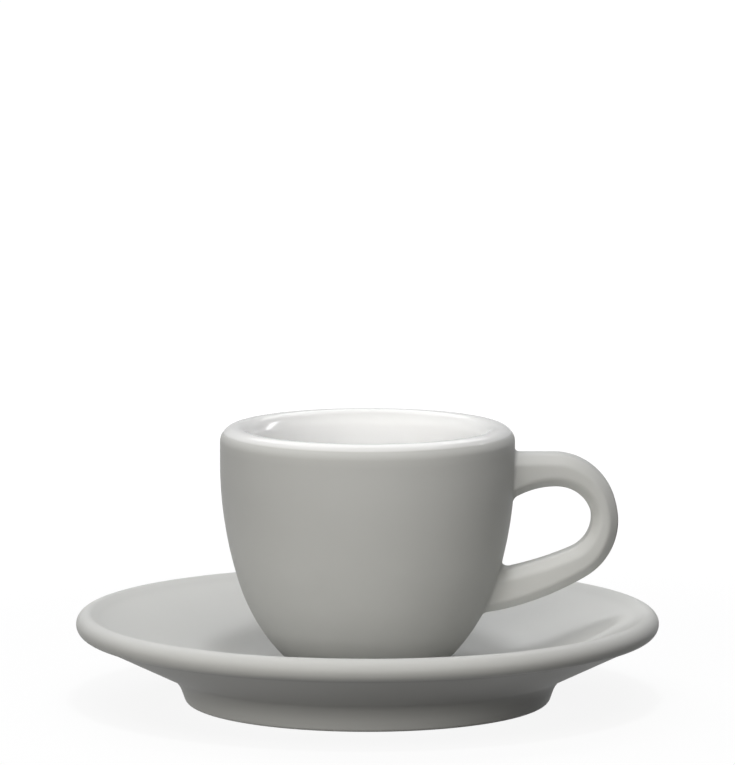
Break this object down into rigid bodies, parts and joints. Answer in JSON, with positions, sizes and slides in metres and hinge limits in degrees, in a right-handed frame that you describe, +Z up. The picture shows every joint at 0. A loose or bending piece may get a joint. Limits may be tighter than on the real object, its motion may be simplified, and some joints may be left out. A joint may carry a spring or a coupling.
{
  "type": "espresso cup with saucer",
  "caption": "Thick-walled round espresso cup with a loop handle, grey glaze outside and a white glazed inside, standing in the well of a matching wide-rimmed saucer.",
  "frame": {"origin": "on the table, at the middle of the saucer's foot ring", "axes": "+Z up along the axis of cup and saucer, +X towards the handle"},
  "size_m": [0.12, 0.12, 0.057],
  "materials": {
    "grey_glaze": "satin grey glaze",
    "white_glaze": "glossy white glaze"
  },
  "bodies": {
    "saucer": {"saucer": "grey_glaze"},
    "cup": {"cup_body": "grey_glaze", "cup_handle": "grey_glaze", "inner_glaze": "white_glaze"}
  },
  "joints": [
    {"name": "cup_lift", "type": "slide", "parent": "saucer", "child": "cup", "axis": [0, 0, 1], "range_m": [0, 0.08]}
  ]
}
